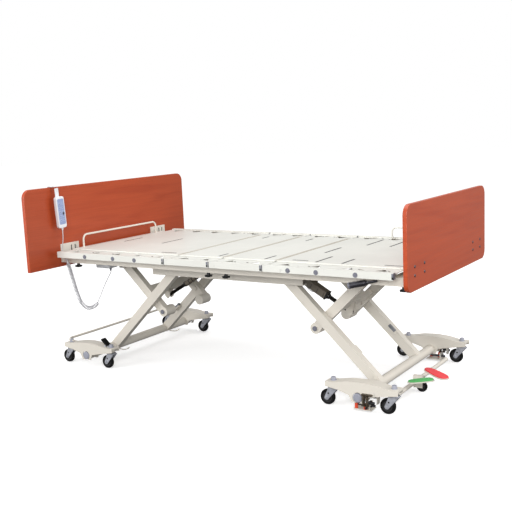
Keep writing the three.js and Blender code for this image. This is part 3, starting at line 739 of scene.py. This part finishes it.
def make_actuator(end):
    rear = pivot(f"{end}_motor_tilt")
    along = Vector(JOINTS[f"{end}_rod_slide"]["axis"]).normalized()
    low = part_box(f"{end}_lift_rod")[0]
    reach = (low.z + 0.012 - rear.z) / along.z
    level = Vector((0, 1, 0))
    frame_of = Matrix((along, level, along.cross(level))).transposed().to_4x4()
    axes = Matrix.Translation(rear) @ frame_of

    def at(x, y, z):
        return axes @ Vector((x * MM, y * MM, z * MM))

    up = 1 if axes.to_3x3().col[2].z > 0 else -1
    shell = Build()
    if end == "foot":
        shell.block((-0.012, -0.0235, -0.021), (0.206, 0.0235, 0.021), axes)
        shell.block((-0.012, 0.018, -0.024), (0.112, 0.026, 0.030 * 0.9), axes)
    else:
        shell.block((-0.012, -0.0235, -0.019), (0.052, 0.0235, 0.020), axes)
        tube = [(ROD_BORE * MM, 0), (14.5 * MM, 0), (14.5 * MM, 0.155), (ROD_BORE * MM, 0.155)]
        shell.lathe(at(51, 0, 0), along, tube)
    piece = shell.make(f"{end}_motor_shell", TAUPE, f"{end}_motor", 3.2 * MM, slot="motor_housing")
    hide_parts(f"{end}_lift_motor")
    trim = Build()

    def collar(start, finish, radius, end_radius):
        depth = (finish - start) * MM
        trim.lathe(at(start, 0, 0), along, [
            (ROD_BORE * MM, 0), (radius * MM, 0), (end_radius * MM, depth), (ROD_BORE * MM, depth),
        ], 40)

    if end == "foot":
        for y0, y1, z0, z1 in (
            (-24.5, 24.5, ROD_BORE, 22), (-24.5, 24.5, -22, -ROD_BORE),
            (-24.5, -ROD_BORE, -ROD_BORE, ROD_BORE), (ROD_BORE, 24.5, -ROD_BORE, ROD_BORE),
        ):
            trim.block((0.199, y0 * MM, z0 * MM), (0.206, y1 * MM, z1 * MM), axes)
        collar(206.3, 219, 17, 14.5)
        for x in (20, 62, 104, 146, 188):
            for y0, y1 in ((-24.2, -22.5), (22.5, 24.2)):
                trim.block((x * MM, y0 * MM, -0.0125), ((x + 3) * MM, y1 * MM, 0.0125), axes)
    else:
        collar(204, 216, 16.5, 14.5)
        collar(48, 58, 17, 17)
        for x in (84, 112, 140, 168):
            collar(x, x + 6, 15.2, 15.2)
    trim.make(f"{end}_motor_trim", BLACK, f"{end}_motor", 1.0 * MM)
    rod = Build()
    rod.rod(at(166, 0, 0), at(reach / MM - 26, 0, 0), 10.2 * MM, sides=40)
    if end == "foot":
        for i in range(9):
            x = 226 + i * 10.5
            rod.rod(at(x, 0, 0), at(x + 5.5, 0, 0), 11.3 * MM, sides=40)
    rod.rod(at(reach / MM - 36, 0, 0), at(reach / MM - 8, 0, 0), 11.4 * MM, 8 * MM, 40)
    rod.rod(at(reach / MM, -10.5, 0), at(reach / MM, 10.5, 0), 11.8 * MM, sides=40)
    piece = rod.make(f"{end}_rod_fine", ROD, f"{end}_rod", 0.8 * MM, slot="actuator_rod")
    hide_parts(f"{end}_lift_rod")
    if end == "foot":
        loop = smooth_curve([
            at(40, 20, -up * 20), at(52, 24, -up * 34), at(80, 26, -up * 47),
            at(112, 24, -up * 44), at(128, 20, -up * 22),
        ], 8)
        Build().sweep(loop, 2.2 * MM, 10).make("foot_motor_lead", CORD, "foot_motor")


for end in ENDS:
    make_actuator(end)


# ---------- deck fittings ----------
SECTIONS = {"back": "back_section", "seat": "root", "thigh": "thigh_section", "foot": "foot_section"}
RAIL_CAPS = {"back": (-832, -623, -469), "foot": (481, 631, 831)}
BOLTS = {"back": (-799, -444), "seat": (-258,), "thigh": (36,), "foot": (350, 506, 806)}
GUSSET_SHADES = {
    "back": ((-826, 22), (-676, 18), (-396, 20)), "seat": ((-158, 22), (-44, 24)),
    "thigh": ((140, 22), (214, 24)), "foot": ((448, 24), (562, 24), (822, 72), (968, 20)),
}
SLOTS = {
    "back": ((-947, 6, 4, 82), (-652, 22, 4, 98), (-371, -359, 50, 4)),
    "seat": ((-27, -332, 4, 40), (-171, 306, 4, 35)),
    "thigh": ((258, -326, 4, 53), (138, 288, 4, 39)),
    "foot": (
        (453, -20, 4, 90), (548, -297, 4, 84), (548, 296, 4, 107), (688, -314, 4, 66),
        (688, 262, 4, 88), (451, -359, 42, 4), (943, -359, 46, 4),
    ),
}
DECK_TOP = 0.672
SHEET_TOP = 0.6656
# Black blocks that fill the deck slots: painted shade of the dark space under them.
SLOT_SHADE_LOW = 0.6684
SLOT_SHADE_RISE = 0.0003  # the painted slot shade stands this far above the deck
SLOT_SHADE_MARGIN = 1.5  # and reach this far past the slot on each side, in mm
BOLT_Y = 0.484
KNOBS = (-984, -55, 55, 1021)


def make_wing_fittings(section, side, sign):
    wing = f"{section}_wing_{side}"
    low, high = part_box(wing)
    outer = high.y if sign > 0 else low.y
    ends, blocks = Build(), Build()
    y0, y1 = sorted((outer - sign * 0.0022, outer - sign * 0.0228))
    for x, out in ((low.x, -1), (high.x, 1)):
        x0, x1 = sorted((x - out * 0.0005, x + out * 0.0022))
        ends.block((x0, y0, 0.6412), (x1, y1, 0.6698))
    x1 = high.x + (0.0015 if section == "foot" else -0.001)
    y0, y1 = sorted((outer - sign * 0.003, outer + sign * 0.0016))
    ends.block((x1 - 0.0085, y0, 0.6540), (x1, y1, 0.6690))
    blocks.block((x1 - 0.0085, y0, 0.6425), (x1, y1, 0.6535))
    ends.make(f"{wing}_rail_ends", CAP, wing, 0.8 * MM)
    blocks.make(f"{wing}_rail_stops", BLACK, wing, 0.6 * MM)
    if section in RAIL_CAPS:
        caps = Build()
        for x in RAIL_CAPS[section]:
            spot = Vector((place(x, 0, 0).x, outer, 0.6525))
            caps.rod(spot, spot + Vector((0, sign * 0.0024, 0)), 12 * MM, 11.4 * MM, 40)
            caps.rod(spot, spot + Vector((0, sign * 0.0036, 0)), 7.5 * MM, 6.5 * MM, 40)
        caps.make(f"{wing}_tube_caps", CAP, wing, 0.5 * MM)
    bolts = Build()
    for x in BOLTS[section]:
        spot = Vector((place(x, 0, 0).x, sign * BOLT_Y, SHEET_TOP - 0.0004))
        bolts.rod(spot, spot + Vector((0, 0, 0.0011)), 6.5 * MM)
    # Flat taupe triangles on the sheet: painted shade standing in for the shaded faces of the triangular
    # tabs.
    gusset_shades = Build()
    for x, width in GUSSET_SHADES[section]:
        corner = Matrix.Translation(Vector((place(x, 0, 0).x, 0, SHEET_TOP - 0.0004)))
        y_in, y_out = sign * 0.462, sign * 0.499
        shape = [(0, y_in), (width * MM, y_out), (-0.003, y_out)]
        gusset_shades.prism(shape, 0.0007, corner)
        dot = Vector((place(x - 7, 0, 0).x, y_in * 1.004, SHEET_TOP - 0.0004))
        bolts.rod(dot, dot + Vector((0, 0, 0.0011)), 4.2 * MM)
    bolts.make(f"{wing}_bolts", BLACK, wing)
    gusset_shades.make(f"{wing}_gussets", SHADE, wing)


def make_panel_fittings(section, body):
    low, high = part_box(f"{section}_panel")
    lips = Build()
    for sign in (-1, 1):
        y0, y1 = sorted((sign * 0.3995, sign * 0.4065))
        lips.block((low.x + 0.001, y0, 0.6664), (high.x - 0.001, y1, 0.6688))
    lips.make(f"{section}_side_lips", DECK, body, 0.5 * MM)
    # Darker strips either side of each seam: painted shade of the gap between the sections.
    seam_shades = Build()
    for x, side, shown in ((low.x, 1, section != "back"), (high.x, -1, section != "foot")):
        if shown:
            x0, x1 = sorted((x + side * 0.0008, x + side * 0.0078))
            seam_shades.block((x0, -0.3985, DECK_TOP - 0.0006), (x1, 0.3985, DECK_TOP + 0.0005))
    seam_shades.make(f"{section}_seam_painted_shades", SEAM_SHADE, body, 0.3 * MM)
    if section in SLOTS:
        # Black blocks fill each slot and its rim: painted shade of the space under the deck.
        painted_shades = Build()
        for x, y, half_x, half_y in SLOTS[section]:
            spot = place(x, y, 0)
            half = Vector((half_x + SLOT_SHADE_MARGIN, half_y + SLOT_SHADE_MARGIN, 0)) * MM
            base = Vector((0, 0, SLOT_SHADE_LOW))
            top = Vector((0, 0, DECK_TOP + SLOT_SHADE_RISE))
            painted_shades.block(spot - half + base, spot + half + top)
        painted_shades.make(f"{section}_slot_painted_shades", BLACK, body)


def make_hinge_bars():
    bars = Build()
    for joint in ("back_tilt", "thigh_tilt"):
        centre = pivot(joint)
        bars.rod(Vector((centre.x, -0.392, 0.6655)), Vector((centre.x, 0.392, 0.6655)), 2.6 * MM, sides=20)
    bars.make("deck_hinge_rods", STEEL, "root")


def make_bracket_painted_shades():
    # Black blocks in the bracket slots: painted shade of the space behind them.
    painted_shades = Build()
    for end in ENDS:
        for side in SIDES:
            low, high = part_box(f"board_bracket_{end}_{side}")
            middle = (low.y + high.y) / 2
            x0, x1 = (low.x + 0.0004, low.x + 0.0022) if end == "head" else (high.x - 0.0022, high.x - 0.0004)
            for y in (0.012, 0.042):
                painted_shades.block((x0, middle + y - 0.0043, 0.6504), (x1, middle + y + 0.0043, 0.6896))
    painted_shades.make("bracket_slot_painted_shades", BLACK, "root")


for section_name, section_body in SECTIONS.items():
    make_panel_fittings(section_name, section_body)
    for side_name, side_sign in SIDES.items():
        make_wing_fittings(section_name, side_name, side_sign)
make_hinge_bars()
make_bracket_painted_shades()


def hoop_points(start, finish, low, high, radius, spot):
    """A hoop: up from start, across with rounded corners, down at finish."""
    points = [spot(start, low), spot(start, low * 0.5 + high * 0.5 - radius * 0.4)]
    corners = ((start + radius, 180, 90), (finish - radius, 90, 0))
    for middle, first, last in corners:
        for i in range(9):
            angle = math.radians(first + (last - first) * i / 8)
            points.append(spot(middle + radius * math.cos(angle), high - radius + radius * math.sin(angle)))
    points += [spot(finish, low * 0.5 + high * 0.5 - radius * 0.4), spot(finish, low)]
    return points


def make_retainers():
    head = hoop_points(-336, 320, 672.6, 745, 30, lambda along, z: place(-1030, along, z))
    hoop = Build().sweep(head, 5.5 * MM, 20)
    for y in (-336, 320):
        hoop.rod(place(-1030, y, 672.2), place(-1030, y, 675), 10 * MM, 8.5 * MM)
    piece = hoop.make("head_retainer_fine", PAINT, "back_section", slot="frame_paint")
    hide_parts("head_retainer")


def make_tie_bar():
    low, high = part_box("head_tie_bar")
    x_out, x_in = low.x + 0.0075, high.x
    reach = 0.456
    points = [
        (x_in, -reach, 0.133), (x_in - 0.022, -reach + 0.002, 0.133), (x_in - 0.040, -reach + 0.012, 0.133),
        (x_out + 0.004, -reach + 0.045, 0.132), (x_out, -reach + 0.085, 0.131), (x_out, -0.2, 0.130),
        (x_out, 0.2, 0.130), (x_out, reach - 0.085, 0.131), (x_out + 0.004, reach - 0.045, 0.132),
        (x_in - 0.040, reach - 0.012, 0.133), (x_in - 0.022, reach - 0.002, 0.133), (x_in, reach, 0.133),
    ]
    bar = Build().sweep(smooth_curve(points, 8), 7.2 * MM, 20)
    piece = bar.make("head_tie_bar_fine", PAINT, "head_base", slot="frame_paint")
    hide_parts("head_tie_bar")


def make_knobs():
    """Four-lobed hand knobs that clamp the wings, under the main frame's side tubes."""
    knobs = Build()
    for sign in (-1, 1):
        for x in KNOBS:
            spot = place(x, sign * 435, 597.6)
            knobs.rod(spot, spot - Vector((0, 0, 0.016)), 8 * MM, 9.5 * MM)
            knobs.rod(spot - Vector((0, 0, 0.014)), spot - Vector((0, 0, 0.026)), 14 * MM, 13 * MM)
            for k in range(4):
                angle = math.radians(45 + 90 * k)
                lobe = spot + Vector((math.cos(angle), math.sin(angle), 0)) * 0.014
                knobs.rod(lobe - Vector((0, 0, 0.015)), lobe - Vector((0, 0, 0.025)), 7 * MM, 6 * MM, 20)
    knobs.make("clamp_knobs", BLACK, "root", 1.5 * MM)


def make_board_bolts():
    for board, out in (("headboard", -1), ("footboard", 1)):
        low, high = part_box(board)
        face = high.x if out > 0 else low.x
        bolts = Build()
        for y in (-447, -333, 333, 447):
            for z in (650, 690):
                spot = Vector((face, y * MM, z * MM))
                bolts.lathe(spot, (out, 0, 0), [
                    (0.0004, -0.001), (0.0075, -0.001), (0.0075, 0.0005),
                    (0.0062, 0.0016), (0.0035, 0.0023), (0.0004, 0.0025),
                ], 32)
        bolts.make(f"{board}_bolts", STEEL, "root")


make_retainers()
make_tie_bar()
make_knobs()
make_board_bolts()


# ---------- hand control ----------
def rounded_outline(width, height, radius, steps=6):
    """Corner-rounded rectangle about its middle, anticlockwise."""
    points = []
    for cx, cy, first in ((1, -1, -90), (1, 1, 0), (-1, 1, 90), (-1, -1, 180)):
        for i in range(steps + 1):
            angle = math.radians(first + 90 * i / steps)
            points.append((
                cx * (width / 2 - radius) + radius * math.cos(angle),
                cy * (height / 2 - radius) + radius * math.sin(angle),
            ))
    return points


HANDSET_LEAN = math.radians(3.4)


def make_handset():
    low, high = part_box("handset")
    back = low.x + 0.056
    middle = Vector((back, (low.y + high.y) / 2, low.z + 0.090))
    top = middle + Vector((0, 0, 0.140))
    lean = Matrix.Translation(top) @ Matrix.Rotation(HANDSET_LEAN, 4, "X") @ Matrix.Translation(-top)
    facing = Matrix((Vector((0, 1, 0)), Vector((0, 0, 1)), Vector((1, 0, 0)))).transposed().to_4x4()
    upright = lean @ Matrix.Translation(middle) @ facing
    case = Build().prism(rounded_outline(0.0612, 0.179, 0.013), 0.0225, upright)
    shell = case.make("handset_case", WHITE, "root", 4.5 * MM, 4, slot="white_plastic")
    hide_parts("handset")
    front = upright @ Matrix.Translation((0, 0.004, 0.0219))
    film = Build().prism(rounded_outline(0.047, 0.146, 0.008), 0.0012, front)
    film.make("handset_keypad", KEYPAD, "root", 0.4 * MM)
    keys, marks = Build(), Build()
    for row in range(5):
        for column in (-1, 1):
            x, y = column * 0.0115, 0.046 - row * 0.0235
            face = front @ Matrix.Translation((x, y, 0.001))
            keys.prism(rounded_outline(0.0165, 0.0150, 0.004, 4), 0.0011, face)
            tip = 0.0036 * (1 if column < 0 else -1)
            spot = front @ Matrix.Translation((x, y, 0.00195))
            marks.prism([(-0.0036, -tip), (0.0036, -tip), (0, tip)], 0.0003, spot)
    keys.make("handset_keys", KEY, "root", 0.4 * MM)
    marks.make("handset_marks", LEGEND, "root")
    lock_face = front @ Matrix.Translation((0.0125, -0.012, 0.001))
    lock = Build().prism(rounded_outline(0.011, 0.015, 0.002, 3), 0.0016, lock_face)
    lock.make("handset_lock_key", STEEL, "root", 0.4 * MM)
    strap_x = back + 0.002
    hook = Build()
    hook.block((-0.014, 0.074, 0.0005), (0.014, 0.138, 0.0035), upright)
    hook.block(
        (low.x, middle.y - 0.014, low.z + 0.2358), (strap_x + 0.0015, middle.y + 0.014, low.z + 0.2388),
    )
    hook.block((low.x, middle.y - 0.014, low.z + 0.207), (low.x + 0.003, middle.y + 0.014, low.z + 0.2388))
    hook.make("handset_hook", WHITE, "root", 1.2 * MM)
    nose = Build()
    nose.rod(upright @ Vector((0, -0.088, 0.012)), upright @ Vector((0, -0.104, 0.012)), 7 * MM, 4 * MM)
    nose.make("handset_strain_relief", WHITE, "root", 0.8 * MM)


make_handset()


# ---------- pedals ----------
def sole_outline(length, wide, waist, count=56):
    """Outline of a foot tread: two round ends with a soft waist between them."""
    points = []
    for i in range(count):
        angle = 2 * math.pi * i / count
        along = math.cos(angle)
        half = (wide + (waist - wide) * (1 - along) / 2) * (1 - 0.14 * (1 - along * along) ** 2)
        squared = math.copysign(abs(math.sin(angle)) ** 0.72, math.sin(angle))
        points.append((along * length / 2, squared * half / 2))
    return points


def make_pad(node, length, wide, waist, turn, material):
    low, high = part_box(node)
    centre = (low + high) / 2
    spin = Matrix.Translation(centre) @ Matrix.Rotation(math.radians(turn), 4, "Z")
    tread = Build().prism(
        sole_outline(length - 0.006, wide - 0.006, waist - 0.006), 0.0062,
        spin @ Matrix.Translation((0, 0, -0.0006)),
    )
    piece = tread.make(f"{node}_tread", material, "pedals", 2.2 * MM, 3, slot=node)
    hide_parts(node)
    studs = Build()
    for i in range(-6, 7):
        for j in (-1, 0, 1):
            x = i * length / 16
            half = (wide + (waist - wide) * (0.5 - x / length)) / 2
            y = j * half * 0.44
            dot = Matrix.Translation((x, y, 0.0050))
            base, tip = spin @ dot @ Vector((0, 0, 0)), spin @ dot @ Vector((0, 0, 0.0010))
            studs.rod(base, tip, 2.4 * MM, 1.8 * MM, 12)
    studs.make(f"{node}_studs", material, "pedals")
    plate = Build().prism(
        sole_outline(length + 0.002, wide + 0.002, waist + 0.002), 0.0050,
        spin @ Matrix.Translation((0, 0, -0.0060)),
    )
    plate.make(f"{node}_plate", PAINT, "pedals", 1.0 * MM)


make_pad("pedal_red", 0.190, 0.076, 0.058, -38, RED)
make_pad("pedal_green", 0.132, 0.058, 0.050, 44, GREEN)


# ---------- floor and light ----------
def make_stage():
    mesh = bpy.data.meshes.new("floor")
    half = 30
    corners = [(-half, -half, 0), (half, -half, 0), (half, half, 0), (-half, half, 0)]
    mesh.from_pydata(corners, [], [(0, 1, 2, 3)])
    floor = bpy.data.objects.new("floor", mesh)
    bpy.context.scene.collection.objects.link(floor)
    m = Material("floor", 0.9)
    m.colour(m.ramp(m.noise(2.0), [(0.3, (0.93, 0.93, 0.93, 1)), (0.7, (0.95, 0.95, 0.95, 1))]))
    m.shader.inputs["Emission Color"].default_value = (1, 1, 1, 1)
    m.shader.inputs["Emission Strength"].default_value = 0.42
    mesh.materials.append(m.material)
    floor.visible_diffuse = False
    floor.visible_glossy = False


def add_light(name, spot, target, size, power):
    data = bpy.data.lights.new(name, "AREA")
    data.shape = "DISK"
    data.size = size
    data.energy = power
    lamp = bpy.data.objects.new(name, data)
    lamp.location = spot
    lamp.rotation_euler = (Vector(target) - Vector(spot)).to_track_quat("-Z", "Y").to_euler()
    bpy.context.scene.collection.objects.link(lamp)


def make_light():
    world = bpy.data.worlds.new("studio")
    world.use_nodes = True
    nodes, links = world.node_tree.nodes, world.node_tree.links
    ambient = nodes["Background"]
    direction = nodes.new("ShaderNodeTexCoord")
    split = nodes.new("ShaderNodeSeparateXYZ")
    links.new(direction.outputs["Generated"], split.inputs["Vector"])
    level = nodes.new("ShaderNodeMapRange")
    level.inputs["From Min"].default_value = -0.5
    level.inputs["From Max"].default_value = 0.5
    level.inputs["To Min"].default_value = 0.12
    level.inputs["To Max"].default_value = 0.72
    links.new(split.outputs["Z"], level.inputs["Value"])
    links.new(level.outputs["Result"], ambient.inputs["Strength"])
    ambient.inputs["Color"].default_value = (1, 1, 1, 1)
    backdrop = nodes.new("ShaderNodeBackground")
    backdrop.inputs["Color"].default_value = (1, 1, 1, 1)
    backdrop.inputs["Strength"].default_value = 1.0
    path = nodes.new("ShaderNodeLightPath")
    mix = nodes.new("ShaderNodeMixShader")
    links.new(path.outputs["Is Camera Ray"], mix.inputs["Fac"])
    links.new(ambient.outputs["Background"], mix.inputs[1])
    links.new(backdrop.outputs["Background"], mix.inputs[2])
    links.new(mix.outputs["Shader"], nodes["World Output"].inputs["Surface"])
    bpy.context.scene.world = world
    add_light("key", (2.2, -4.2, 1.9), (0, 0, 0.4), 2.2, 118)
    add_light("fill", (-2.6, -3.8, 1.5), (-0.4, 0, 0.5), 2.2, 72)
    add_light("side", (3.5, 0.2, 1.5), (1.0, 0, 0.7), 1.5, 42)
    add_light("top", (0, 0.4, 4.0), (0, 0, 0.6), 3.4, 45)
    bpy.context.scene.view_settings.view_transform = "Standard"


make_stage()
make_light()

bpy.context.view_layer.update()
